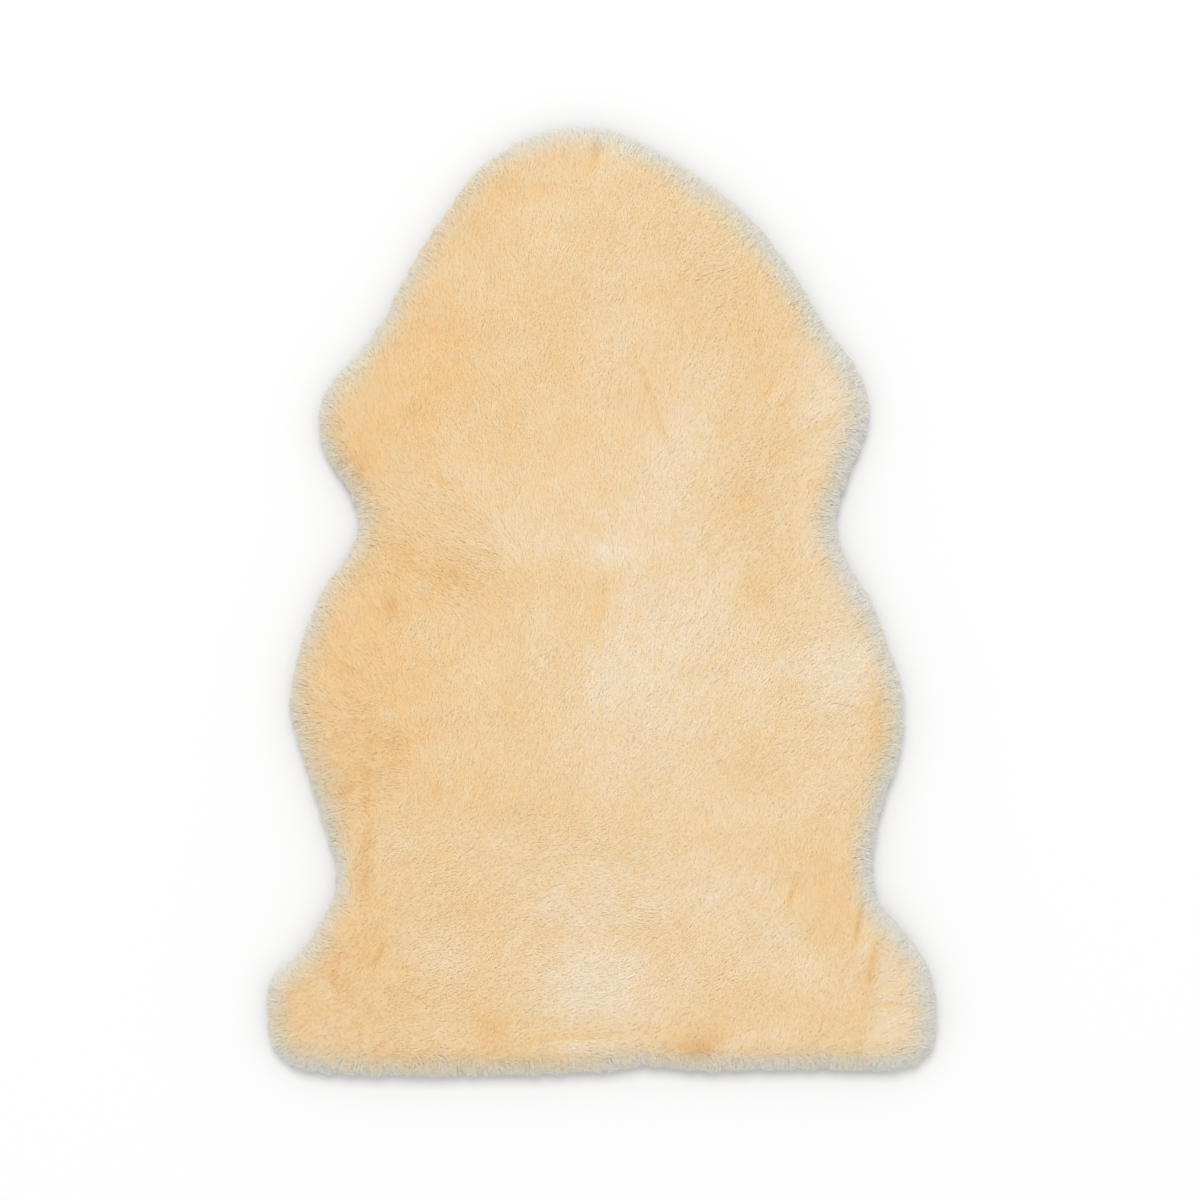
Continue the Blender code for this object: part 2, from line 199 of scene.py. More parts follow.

# Places where the pile opens, or below zero where a tuft stands up: name, x, y, length, width, turn, share.
# The share also paints shade, darker and more golden, into an opening, and paints light, paler, onto a tuft.
PARTINGS = (
    ("neck_nick", -6, 449, 36, 10, 78, 0.8),
    ("neck_nick_lip", 14, 440, 40, 20, 70, -0.4),
    ("throat_gold", -90, 410, 34, 22, 165, 0.35),
    ("throat_gold_inner", -52, 410, 28, 11, 170, 0.4),
    ("cheek_dot", -203, 253, 8, 6, 0, 0.5),
    ("shoulder_whiskers", -182, 187, 46, 16, 170, 0.4),
    ("long_parting_top", 33, 251, 16, 5, 60, 0.3),
    ("long_parting", 43, 218, 44, 7, 113, 0.45),
    ("long_parting_lip", 30, 222, 50, 14, 105, -0.1),
    ("long_parting_tail", 58, 176, 60, 9, 108, 0.45),
    ("fore_lobe_stroke", 167, 211, 30, 4, 52, 0.45),
    ("fore_lobe_stroke_lip", 176, 206, 26, 10, 52, -0.3),
    ("fore_lobe_fold", 216, 171, 62, 15, 34, 0.5),
    ("left_lobe_crease", -256, 140, 26, 7, 8, 0.7),
    ("left_lobe_dip", -240, 126, 28, 10, 78, 0.65),
    ("waist_nicks", -154, 118, 38, 9, 165, 0.45),
    ("crimps_upper", -194, 52, 30, 22, 60, 0.4),
    ("crimps_line", -112, 47, 22, 5, 175, 0.5),
    ("crimps_middle", -140, 24, 44, 24, 160, 0.25),
    ("crimps_tuft", -186, 12, 26, 16, 10, -0.35),
    ("crimps_lower", -210, -8, 36, 16, 60, 0.45),
    ("middle_edge", -2, -6, 74, 16, 85, 0.2),
    ("spine_nick", -32, -16, 26, 8, 110, 0.3),
    ("whorl", 143, 97, 38, 32, 20, 0.45),
    ("flank_nick_left", -250, -68, 32, 11, 158, 0.35),
    ("rim_tufts_right", 262, -52, 46, 18, 45, -0.5),
    ("rim_stroke_right", 275, -98, 24, 5, 66, 0.6),
    ("rim_gold_right", 272, -128, 70, 18, 85, 0.2),
    ("loin_gold_left", -197, -143, 44, 26, 60, 0.25),
    ("loin_crease_left", -250, -186, 34, 6, 28, 0.38),
    ("loin_crease_lip", -246, -196, 34, 9, 28, -0.2),
    ("combed_line_left", -234, -246, 130, 11, 88, 0.6),
    ("loin_strokes", -164, -190, 18, 11, 85, 0.5),
    ("haunch_stroke_left", -194, -262, 26, 9, 22, 0.45),
    ("haunch_stroke_inner", -137, -308, 22, 9, 60, 0.4),
    ("haunch_stroke_right", 189, -291, 28, 6, 68, 1.0),
    ("hip_stroke_right", 255, -321, 42, 7, 80, 1.0),
    ("hip_stroke_lip", 267, -337, 44, 12, 72, -0.4),
    ("hind_stroke_right", 268, -364, 50, 9, 82, 1.0),
    ("hind_line_right", 258, -415, 64, 11, 80, 0.3),
    ("hind_curl_right", 287, -402, 22, 6, 5, 1.0),
    ("hind_curl_end", 298, -391, 14, 5, 62, 0.6),
    ("hind_tufts_right", 214, -366, 70, 24, 35, -0.3),
    ("hind_nick_left", -222, -353, 24, 7, 62, 0.8),
    ("hind_nick_tuft", -214, -374, 26, 16, 20, -0.4),
    ("hind_line_left", -196, -366, 24, 5, 172, 0.7),
    ("hind_crease_left", -265, -377, 22, 9, 112, 0.6),
    ("hind_crease_lip", -275, -386, 30, 14, 130, -0.5),
    ("rump_gold_left", -113, -424, 42, 26, 150, 0.3),
    ("rump_line", -27, -433, 74, 6, 3, 0.55),
    ("rump_line_lip", -27, -445, 90, 13, 3, -0.6),
    ("rump_hollow", 97, -446, 50, 28, 22, 1.0),
    ("rump_hollow_lip", 122, -451, 50, 15, 48, -0.7),
)
PARTING_TURN = 0.9
PARTING_EDGE = 6.0  # how sharply the nap changes sides across a parting
PARTING_DROP = 0.0024
# How strongly a parting's share paints shade into the opening, and light onto a tuft.
PARTING_SHADE_AND_LIGHT = 1.5

# Broad tones of the fleece, from the neck to the rump: name, x, y, length, width, turn, and strength from -1,
# golden, to 1, pale.
TONES = (
    ("neck_rim_right", 120, 420, 260, 50, 150, -0.30),
    ("neck_rim_left", -130, 410, 320, 44, 56, -0.50),
    ("neck_left", -90, 400, 90, 60, 30, -0.35),
    ("neck_pale", -40, 388, 70, 26, 0, 0.30),
    ("neck_right", 110, 380, 240, 90, 150, 0.35),
    ("neck_low_pale", 50, 336, 110, 36, 0, 0.30),
    ("neck_and_fore", -30, 290, 330, 330, 0, -0.38),
    ("withers_pale", 28, 278, 60, 46, 0, 0.35),
    ("shoulder_pale", -88, 245, 60, 60, 90, 0.35),
    ("shoulder_left", -165, 242, 120, 100, 75, -0.60),
    ("withers_gold", -46, 225, 40, 60, 90, -0.35),
    ("fore_rim_right", 228, 214, 120, 80, 90, 0.50),
    ("shoulder_right_pale", 88, 200, 70, 60, 90, 0.40),
    ("fore_lobe_pale", -212, 192, 36, 46, 90, 0.6),
    ("shoulder_low", -180, 190, 100, 60, 10, -0.30),
    ("fore_lobe_left", -238, 168, 130, 80, 80, -0.60),
    ("spine_pale", 62, 120, 110, 60, 85, 0.50),
    ("whorl_gold", 144, 97, 56, 46, 10, -0.22),
    ("waist_pale", -60, 62, 130, 44, 0, 0.25),
    ("middle_pale", 10, 50, 60, 34, 0, 0.80),
    ("waist_left", -150, 20, 170, 56, 172, -0.45),
    ("middle_band", -50, 20, 160, 40, 0, -0.35),
    ("belly_high_right", 170, 20, 80, 60, 0, -0.25),
    ("flank_gold_right", 152, 10, 40, 44, 90, -0.50),
    ("right_side", 235, 10, 560, 100, 90, 0.75),
    ("middle_edge", -2, -6, 76, 22, 85, -0.45),
    ("belly_middle_left", -225, -14, 110, 70, 90, -0.40),
    ("flank_middle_left", -75, -20, 100, 70, 0, -0.30),
    ("left_side", -235, -40, 760, 180, 90, -0.62),
    ("back_pale", 60, -50, 300, 200, 85, 0.9),
    ("flank_line_right", 180, -60, 150, 36, 105, -0.30),
    ("flank_pale_right", 160, -66, 70, 34, 0, 0.40),
    ("belly_left", -232, -110, 150, 90, 80, -0.35),
    ("belly_pale", -212, -114, 100, 22, 5, 0.60),
    ("belly_right_gold", 274, -125, 100, 30, 92, -0.60),
    ("loin_gold", -198, -143, 70, 46, 60, -0.50),
    ("loin_pale_left", -160, -153, 80, 20, 0, 0.50),
    ("loin_low_right", 130, -165, 160, 90, 0, -0.40),
    ("loin_middle_gold", -80, -200, 240, 140, 0, -0.50),
    ("loin_right", 165, -208, 90, 30, 0, 0.50),
    ("loin_gold_right", 80, -238, 60, 30, 40, -0.40),
    ("rump_top_middle", 0, -240, 90, 60, 0, -0.40),
    ("loin_band_pale", -80, -241, 150, 26, 175, 0.60),
    ("haunch_pale_left", -200, -243, 44, 44, 0, 0.45),
    ("haunch_middle", 75, -250, 80, 60, 0, 0.35),
    ("haunch_pale_right", 160, -282, 80, 40, 0, 0.6),
    ("loin_middle", 30, -290, 260, 120, 20, 0.30),
    ("hip_gold_right", 222, -292, 120, 56, 95, -0.80),
    ("spine_low_pale", 115, -310, 160, 90, 80, 0.25),
    ("rump_inner_left", -150, -314, 90, 70, 0, -0.30),
    ("rump_pale_left", -172, -338, 76, 46, 140, 0.55),
    ("hind_gold_left", -250, -345, 120, 56, 75, -0.60),
    ("rump_pale", -5, -385, 130, 70, 0, 0.50),
    ("rump_middle_pale", -30, -392, 120, 60, 0, 0.45),
    ("hind_low_left", -240, -395, 110, 70, 0, -0.45),
    ("hind_line_gold", 260, -400, 110, 30, 82, -0.35),
    ("hind_lobe_right", 304, -400, 150, 84, 90, 0.90),
    ("rump_gold_right", 168, -402, 130, 42, 170, -0.40),
    ("rump_gold_left", -112, -424, 54, 40, 150, -0.55),
    ("rump_gold_middle", 90, -425, 90, 40, 20, -0.50),
    # The rump's rim is made more golden and less pale as painted shade, for the rim on the side away from the
    # lamp.
    ("rump_rim_painted_shade", -20, -462, 620, 34, 0, -0.50),
)
TONE_BASE = -0.12

# How much light passes through a blade of wool, and through the underwool.
BLADE_GLOW = 0.50
BODY_GLOW = 0.35

# The pieces of the pile, from the neck to the rump.
PILE_PARTS = ("pile_neck", "pile_shoulders", "pile_back", "pile_loin", "pile_rump")

# Finishes. Colours are linear.
DEEP_GOLD = (0.860, 0.600, 0.275, 1.0)
GOLD = (0.905, 0.708, 0.400, 1.0)
CREAM = (0.912, 0.768, 0.520, 1.0)
PALE = (0.922, 0.842, 0.705, 1.0)
# The rim's colour: paler wool, greyed with painted shade.
RIM_PALE_AND_SHADE = (0.838, 0.828, 0.778, 1.0)
# The roots' colour, paler than the fleece's: partly painted light, which lifts the shade in the gaps between
# the blades.
ROOT_COLOUR_AND_LIGHT = (0.930, 0.795, 0.570, 1.0)
TONE_RANGE = (-2.0, 2.0)  # the tones that stand at 0 and at 1 of the stops
TONE_STOPS = ((0.0, DEEP_GOLD), (0.25, GOLD), (0.5, CREAM), (0.75, PALE))
ROOT_RANGE = (0.0, 0.8)  # where along a blade its root's colour, with its painted light, gives way to the fleece's
WOOL_GRAIN = 320.0
WOOL_ROUGHNESS = (0.82, 1.0)
WOOL_BUMP = (0.3, 0.0003)  # a bump's strength and distance
WOOL_SPECULAR = 0.15
HIDE_LIGHT = (0.72, 0.60, 0.44, 1.0)
HIDE_DARK = (0.58, 0.45, 0.30, 1.0)
HIDE_STOPS = ((0.35, HIDE_DARK), (0.65, HIDE_LIGHT))
HIDE_MOTTLE = 14.0
HIDE_MOTTLE_DETAIL = 6.0
HIDE_GRAIN = 900.0
HIDE_ROUGHNESS = 0.92
HIDE_BUMP = (0.35, 0.0004)
HIDE_SPECULAR = 0.2
FLOOR_WHITE = (0.70, 0.70, 0.70, 1.0)
FLOOR_SIZE = 8.0

# Light: a bright even surround and one large soft lamp, high beyond the neck and a little to the left.
SKY_STRENGTH = 1.04
LAMP_PLACE = (-1.4, 11.0, 19.7)
LAMP_SIZE = 10.2
LAMP_POWER = 2430.0

# A blade has three joints, its base, bend and tip. These are their places along it, the joint that each
# of its five corners is at, and its three faces.
JOINT_ALONG = (0.0, 0.5, 1.0)
CORNER_JOINTS = (0, 0, 1, 1, 2)
BLADE_FACES = ((0, 1, 3), (0, 3, 2), (2, 3, 4))

Surface = namedtuple("Surface", "points normals triangles")
Scatter = namedtuple("Scatter", "points normals inset outward nap")
Lock = namedtuple("Lock", "turn lean lift tone curl")


def unit(vectors):
    return vectors / np.maximum(np.linalg.norm(vectors, axis=-1, keepdims=True), 1e-9)


def compass(degrees):
    """Level unit vectors that point at these angles from +X."""
    turn = np.radians(degrees)
    return np.stack([np.cos(turn), np.sin(turn)], axis=-1)


def rotated(vectors, degrees):
    """Level vectors turned by an angle each."""
    cos, sin = compass(degrees).T
    x, y = vectors.T
    return np.stack([x * cos - y * sin, x * sin + y * cos], axis=-1)


def ease(value, low, high):
    """0 below low and 1 above high, with a smooth rise between."""
    share = np.clip((value - low) / (high - low), 0.0, 1.0)
    return share * share * (3.0 - 2.0 * share)


def blend(first, second, share):
    """A value from first, at share 0, to second, at share 1."""
    return first + (second - first) * share


def soft_noise(points, size, seed):
    """Smooth level noise from -1 to 1, with bumps about size across."""
    side = NOISE_SIDE
    lattice = np.random.default_rng(seed).uniform(-1.0, 1.0, (side, side))
    place = points[:, :2] / size + side / 2
    cell = np.floor(place).astype(int)
    share = place - cell
    share = share * share * (3.0 - 2.0 * share)
    x, y = (cell % side).T
    x_next, y_next = (x + 1) % side, (y + 1) % side
    near = lattice[x, y] * (1 - share[:, 0]) + lattice[x_next, y] * share[:, 0]
    far = lattice[x, y_next] * (1 - share[:, 0]) + lattice[x_next, y_next] * share[:, 0]
    return near * (1 - share[:, 1]) + far * share[:, 1]


def layered(points, layers, base=0.0):
    """Layers of soft noise on top of a base."""
    total = np.full(len(points), base)
    for strength, size, seed in layers:
        total += strength * soft_noise(points, size, seed)
    return total


def patch(points, row):
    """How much of a row's oval patch is at each point, 1 in its middle, and how far off its long axis."""
    _, x, y, length, width, turn, _ = row
    off = points[:, :2] - np.array([x, y]) * MM
    along, across = rotated(off, -turn).T
    near = np.exp(-((2 * along / (length * MM)) ** 2) - (2 * across / (width * MM)) ** 2)
    return near, across / (width * MM)


def make_object(name, mesh):
    made = bpy.data.objects.new(name, mesh)
    bpy.context.scene.collection.objects.link(made)
    return made


def merged_solid(node):
    """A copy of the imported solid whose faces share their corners."""
    solid = bmesh.new()
    solid.from_mesh(node.data)
    bmesh.ops.remove_doubles(solid, verts=solid.verts, dist=MERGE_DISTANCE)
    solid.normal_update()
    return solid


def remeshed(solid, voxel):
    """The solid's surface as an even net of small faces, smoothed."""
    mesh = bpy.data.meshes.new("remesh")
    solid.to_mesh(mesh)
    work = make_object("remesh", mesh)
    net = work.modifiers.new("net", "REMESH")
    net.mode = "VOXEL"
    net.voxel_size = voxel
    smooth = work.modifiers.new("smooth", "SMOOTH")
    smooth.factor = SMOOTHING_FACTOR
    smooth.iterations = SMOOTHING_STEPS
    shown = work.evaluated_get(bpy.context.evaluated_depsgraph_get())
    made = bpy.data.meshes.new_from_object(shown)
    bpy.data.objects.remove(work)
    return made


def surface_of(mesh):
    """A mesh's points, their normals and its triangles, as arrays."""
    points = np.empty(len(mesh.vertices) * 3)
    mesh.vertices.foreach_get("co", points)
    normals = np.empty(len(mesh.vertices) * 3)
    mesh.vertex_normals.foreach_get("vector", normals)
    mesh.calc_loop_triangles()
    triangles = np.empty(len(mesh.loop_triangles) * 3, dtype=np.int32)
    mesh.loop_triangles.foreach_get("vertices", triangles)
    return Surface(points.reshape(-1, 3), normals.reshape(-1, 3), triangles.reshape(-1, 3))


def rim_line(solid):
    """Points along the pelt's widest line, where its faces turn from up to down, and the way out at each."""
    places, ways = [], []
    for edge in solid.edges:
        if len(edge.link_faces) != 2:
            continue
        upper, lower = sorted(edge.link_faces, key=lambda face: -face.normal.z)
        if upper.normal.z <= 0.0 or lower.normal.z >= 0.0:
            continue
        start, end = (vertex.co for vertex in edge.verts)
        run = (end - start).xy
        out = Vector((run.y, -run.x)).normalized()
        if out.dot(((start + end) / 2 - upper.calc_center_median()).xy) < 0:
            out.negate()
        for share in RIM_SHARES:
            places.append(start.lerp(end, share).xy)
            ways.append(out)
    return np.array(places), np.array(ways)


def inset_and_outward(points, widest):
    """Each point's level distance in from the pelt's widest line, and the way out of the pelt there."""
    places, ways = widest
    tree = KDTree(len(places))
    for index, (x, y) in enumerate(places):
        tree.insert((x, y, 0.0), index)
    tree.balance()
    inset = np.empty(len(points))
    outward = np.empty((len(points), 2))
    for row, (x, y, _) in enumerate(points):
        found = tree.find_n((x, y, 0.0), RIM_NEIGHBOURS)
        inset[row] = found[0][2]
        outward[row] = ways[[index for _, index, _ in found]].mean(axis=0)
    return inset, unit(outward)


def nap_of(points):
    """The level way in which the wool lies at each point, from the nap table."""
    total = np.zeros((len(points), 2))
    for _, x, y, direction in NAP:
        gap = np.linalg.norm(points[:, :2] / MM - np.array([x, y]), axis=1)
        total += compass(direction) / (gap[:, None] ** 2 + NAP_REACH**2) ** 2
    return rotated(unit(total), layered(points, NAP_TURNS))


def even_shares(count):
    """Corner shares of places that fill triangles evenly, by a low-discrepancy sequence."""
    step = np.arange(count)[:, None] * np.array(EVEN_STEPS)
    first, second = (step % 1.0).T
    folded = first + second > 1.0
    first = np.where(folded, 1.0 - first, first)
    second = np.where(folded, 1.0 - second, second)
    return np.column_stack([first, second, 1.0 - first - second])


def scattered(surface, widest):
    """Even random places on the surface's top and sides, with what the pile needs to know at each."""
    draw = np.random.default_rng(PILE_SEED)
    inset, outward = inset_and_outward(surface.points, widest)
    nap = nap_of(surface.points)
    corners = surface.points[surface.triangles]
    cross = np.cross(corners[:, 1] - corners[:, 0], corners[:, 2] - corners[:, 0])
    area = np.linalg.norm(cross, axis=1) / 2
    keep = cross[:, 2] > UNDERSIDE_LIMIT * 2 * area
    count = np.floor(area * keep * BLADES_PER_AREA + draw.random(len(area))).astype(int) * keep
    chosen = surface.triangles[np.repeat(np.arange(len(area)), count)]
    shares = even_shares(len(chosen))[:, :, None]

    def at_places(values):
        return (values[chosen] * shares).sum(axis=1)

    return Scatter(
        at_places(surface.points),
        unit(at_places(surface.normals)),
        at_places(inset[:, None])[:, 0],
        unit(at_places(outward)),
        unit(at_places(nap)),
    )


def parted(points, nap):
    """The nap, pushed aside at each parting."""
    way = nap.copy()
    for row in PARTINGS:
        turn, share = row[-2:]
        if share > 0:
            near, across = patch(points, row)
            aside = rotated(compass(turn)[None, :], 90.0)
            way += PARTING_TURN * (share * near * np.tanh(PARTING_EDGE * across))[:, None] * aside
    return unit(way)


def opened(points):
    """How open the pile is at each point, up to 1, and below zero where a tuft stands up."""
    share = np.zeros(len(points))
    for row in PARTINGS:
        share += row[-1] * patch(points, row)[0]
    return np.clip(share, -1.0, 1.0)


def tone_of(points):
    """The fleece's broad tone at each point, from -1, golden, to 1, pale."""
    tone = layered(points, TONE_CLOUDS, TONE_BASE)
    for row in TONES:
        tone += row[-1] * patch(points, row)[0]
    return np.clip(tone, -1.0, 1.0)


def locks_of(points):
    """Which lock of wool each point belongs to, the lock's middle, and how many locks there may be."""
    draw = np.random.default_rng(LOCK_SEED)
    cell = np.floor(points[:, :2] / LOCK_PITCH).astype(int)
    low = cell.min(axis=0) - 1
    size = cell.max(axis=0) - low + 2
    middles = draw.random((size[0], size[1], 2))
    best = np.full(len(points), np.inf)
    lock = np.zeros(len(points), dtype=int)
    middle = np.zeros((len(points), 2))
    for dx in (-1, 0, 1):
        for dy in (-1, 0, 1):
            x, y = (cell - low + (dx, dy)).T
            place = (cell + (dx, dy) + middles[x, y]) * LOCK_PITCH
            gap = np.linalg.norm(points[:, :2] - place, axis=1)
            closer = gap < best
            best[closer] = gap[closer]
            lock[closer] = (x * size[1] + y)[closer]
            middle[closer] = place[closer]
    return lock, middle, size[0] * size[1]


def rim_share(inset):
    """1 at the pelt's rim, and 0 from the rim band inwards."""
    return (1.0 - np.clip(inset / RIM_BAND, 0.0, 1.0)) ** RIM_FALL


def outward_turn(way, outward):
    """The angle in degrees from each level way to the way out of the pelt."""
    cross = way[:, 0] * outward[:, 1] - way[:, 1] * outward[:, 0]
    return np.degrees(np.arctan2(cross, (way * outward).sum(axis=1)))


def calmed(points):
    """How much smoother than elsewhere the wool lies at each point, from the table of calm places."""
    return sum(row[-1] * patch(points, row)[0] for row in CALM)


def combed(points, way):
    """Soft ridges from -1 to 1 that run the way the wool lies."""
    steps = np.linspace(-COMB_REACH, COMB_REACH, COMB_STEPS)
    total = sum(soft_noise(points[:, :2] + way * step, COMB_PITCH, COMB_SEED) for step in steps)
    return np.clip(COMB_GAIN * total / COMB_STEPS, -1.0, 1.0)


def rim_pale_and_shade(inset, rise, tone):
    """How much the wool takes the rim's pale colour, which is greyed with painted shade: less on the wall,
    and more where the fleece is pale.
    """
    near = PALE_SHADE_STRENGTH * (1.0 - np.clip(inset / PALE_SHADE_BAND, 0.0, 1.0)) ** PALE_SHADE_FALL
    share = np.clip(near * (PALE_SHADE_BY_TONE[0] + PALE_SHADE_BY_TONE[1] * tone), 0.0, 1.0)
    return share * blend(WALL_PALE_SHADE, 1.0, ease(rise, *WALL_RISE))


def wall_tone(rise):
    """How much paler than the top the wool is on the pelt's wall."""
    return WALL_TONE * (1.0 - ease(rise, *WALL_RISE))


def lying(normals, way, lean):
    """Unit vectors that lean from the surface's normal towards a level way by an angle."""
    along = np.column_stack([way * normals[:, 2:].clip(0.0), -(way * normals[:, :2]).sum(axis=1)])
    turn = np.radians(lean)[:, None]
    return unit(normals * np.cos(turn) + unit(along) * np.sin(turn))


def lie_of(places, rim, lock, draw):
    """The level way in which each blade lies, and its lean."""
    way = parted(places.points, places.nap)
    turned = outward_turn(way, places.outward)
    turned *= ease(rim + layered(places.points, RIM_WAVERS), *RIM_TURN)
    way = rotated(way, turned + draw.normal(0.0, TURN_SPREAD, len(rim)) + LOCK_TURN * lock.turn)
    lean = blend(LEAN_INSIDE, LEAN_RIM, rim)
    lean += LOCK_LEAN * lock.lean + draw.normal(0.0, LEAN_SPREAD, len(rim))
    return way, np.clip(lean, *LEAN_RANGE)


def varied(size, spread, limits, count, draw):
    """Sizes that vary by a share about a middle one, within limits."""
    return size * np.exp(draw.normal(0.0, spread, count)).clip(*limits)


def lift_of(points, rim, lock, ridge, draw):
    """How far each blade's tip stands above the solid's face, since some of the fleece lies smoother."""
    lively = 1.0 - calmed(points)
    low = blend(TIP_LIFT[0], RIM_TIP_LIFT[0], rim)
    high = blend(TIP_LIFT[1], RIM_TIP_LIFT[1], rim)
    stand = layered(points, STAND_LAYERS, STAND_BASE) * lively
    lift = blend(low, high, draw.random(len(rim))) * stand
    lift += blend(LOCK_LIFT, LOCK_RIM_LIFT, rim) * lock.lift * lively
    return lift + COMB_LIFT * ridge * lively


def corners_of(joints, upper, normals, width, rim, draw):
    """Each blade's corners: the pairs at its base and its bend, and its tip. Its face looks up or out."""
    base, bend, tip = joints.transpose(1, 0, 2)
    side = unit(np.cross(upper, normals))
    roll = np.radians(draw.normal(0.0, ROLL_SPREAD, len(rim)))[:, None]
    side = side * np.cos(roll) + np.cross(upper, side) * np.sin(roll)
    skyward = normals.copy()
    skyward[:, 2] += rim
    side[(np.cross(side, upper) * skyward).sum(axis=1) < 0] *= -1.0
    half = side * (width / 2)[:, None]
    foot = half * BASE_WIDTH_SHARE
    corners = np.stack([base - foot, base + foot, bend - half, bend + half, tip], axis=1)
    corners[:, :, 2] = np.maximum(corners[:, :, 2], FLOOR_GAP)
    return corners


def shade_of(normals, rim):
    """The normal by which each blade is shaded: the pelt's own, turned up at the rim."""
    shade = normals.copy()
    shade[:, 2] += RIM_LIGHT * rim
    return unit(shade)


def colours_of(places, lock, joints, open_share, ridge, draw):
    """The tone at each blade's joints, with painted shade and light at partings and on the combed ridges, and
    how much the blade takes the rim's pale colour with its painted shade.
    """
    count = len(joints)
    rise = places.normals[:, 2]
    tone = tone_of(joints.reshape(-1, 3)).reshape(count, 3)
    stray = PALE_SHADE_STRAY[0] * lock.lean + PALE_SHADE_STRAY[1] * draw.normal(size=count)
    near = (places.inset + stray + PALE_SHADE_WAVER * layered(places.points, RIM_WAVERS)).clip(0.0)
    # The rim's pale colour, greyed with painted shade.
    pale = rim_pale_and_shade(near, rise, tone[:, 2])
    tone += wall_tone(rise)[:, None]
    # The combed ridges paint light on their tops and shade in the furrows.
    own = LOCK_TONE * lock.tone + BLADE_TONE * draw.normal(size=count) + COMB_LIGHT_AND_SHADE * ridge
    tone += own[:, None]
    # Painted shade where the pile opens, and painted light where a tuft stands up.
    tone -= PARTING_SHADE_AND_LIGHT * open_share
    return tone, pale


def blades(places):
    """Every blade's corners, its shading normal, and the values that colour each of its corners."""
    draw = np.random.default_rng(BLADE_SEED)
    points, normals = places.points, places.normals
    count = len(points)
    rim = rim_share(places.inset)
    number, middle, locks = locks_of(points)
    lock = Lock(*draw.uniform(-1.0, 1.0, (locks, len(Lock._fields)))[number].T)

    way, lean = lie_of(places, rim, lock, draw)
    length = varied(BLADE_LENGTH, BLADE_LENGTH_SPREAD, BLADE_LENGTH_RANGE, count, draw)
    width = varied(BLADE_WIDTH, BLADE_WIDTH_SPREAD, BLADE_WIDTH_RANGE, count, draw)
    ridge = combed(points, way)
    lift = lift_of(points, rim, lock, ridge, draw)

    curl = LOCK_CURL * lock.curl + draw.normal(0.0, CURL_SPREAD, count)
    upper = lying(normals, rotated(way, curl), lean + BEND)
    lower = lying(normals, rotated(way, -curl), lean - BEND)
    tip = points + normals * lift[:, None]
    tip[:, :2] += (middle - points[:, :2]) * (LOCK_DRAW * (1.0 - rim))[:, None]
    bend = tip - upper * (length / 2)[:, None]
    base = bend - lower * (length / 2)[:, None]
    joints = np.stack([base, bend, tip], axis=1)
    open_share = opened(joints.reshape(-1, 3)).reshape(count, 3)
    joints -= normals[:, None, :] * (PARTING_DROP * open_share)[:, :, None]

    corners = corners_of(joints, upper, normals, width, rim, draw)
    tone, pale = colours_of(places, lock, joints, open_share, ridge, draw)
    values = {
        "tone": tone[:, CORNER_JOINTS],
        # The share of the rim's pale colour, greyed with painted shade.
        "pale": np.tile(pale[:, None], (1, len(CORNER_JOINTS))),
        "along": np.tile(np.array(JOINT_ALONG)[list(CORNER_JOINTS)], (count, 1)),
    }
    return corners, shade_of(normals, rim), values


def add_attribute(mesh, name, values):
    layer = mesh.attributes.new(name, "FLOAT", "POINT")
    layer.data.foreach_set("value", np.ascontiguousarray(values, dtype=np.float32))


def blade_mesh(name, corners, shade, values):
    """One mesh of many blades."""
    count, size = corners.shape[:2]
    triangles = (np.arange(count)[:, None, None] * size + np.array(BLADE_FACES)).reshape(-1, 3)
    mesh = bpy.data.meshes.new(name)
    mesh.vertices.add(count * size)
    mesh.vertices.foreach_set("co", corners.reshape(-1).astype(np.float32))
    mesh.loops.add(len(triangles) * 3)
    mesh.loops.foreach_set("vertex_index", triangles.reshape(-1).astype(np.int32))
    mesh.polygons.add(len(triangles))
    mesh.polygons.foreach_set("loop_start", np.arange(0, len(triangles) * 3, 3, dtype=np.int32))
    mesh.update(calc_edges=True)
    mesh.shade_smooth()
    mesh.normals_split_custom_set_from_vertices(np.repeat(shade, size, axis=0))
    for key, per_corner in values.items():
        add_attribute(mesh, key, per_corner.reshape(-1))
    return mesh


def new_material(name):
    """A material, its node maker, its linker and its shader."""
    material = bpy.data.materials.new(name)
    material.use_nodes = True
    tree = material.node_tree
    shader = tree.nodes["Principled BSDF"]
    return material, tree.nodes, tree.links, shader


def read_attribute(nodes, name):
    node = nodes.new("ShaderNodeAttribute")
    node.attribute_name = name
    return node.outputs["Fac"]


def mixed(nodes, links, share, first, second):
    """A colour between two, each of which is a colour or a socket."""
    node = nodes.new("ShaderNodeMix")
    node.data_type = "RGBA"
    node.clamp_factor = True
    links.new(share, node.inputs[0])
    colours = [socket for socket in node.inputs if socket.type == "RGBA"]
    for socket, value in zip(colours, (first, second)):
        if isinstance(value, tuple):
            socket.default_value = value
        else:
            links.new(value, socket)
    return [socket for socket in node.outputs if socket.type == "RGBA"][0]


def ramp(nodes, links, source, stops):
    """A value from 0 to 1 turned into a colour, by stops of a place and a colour."""
    node = nodes.new("ShaderNodeValToRGB")
    elements = node.color_ramp.elements
    while len(elements) < len(stops):
        elements.new(0.5)
    for element, (place, colour) in zip(elements, stops):
        element.position = place
        element.color = colour
    links.new(source, node.inputs["Fac"])
    return node.outputs["Color"]


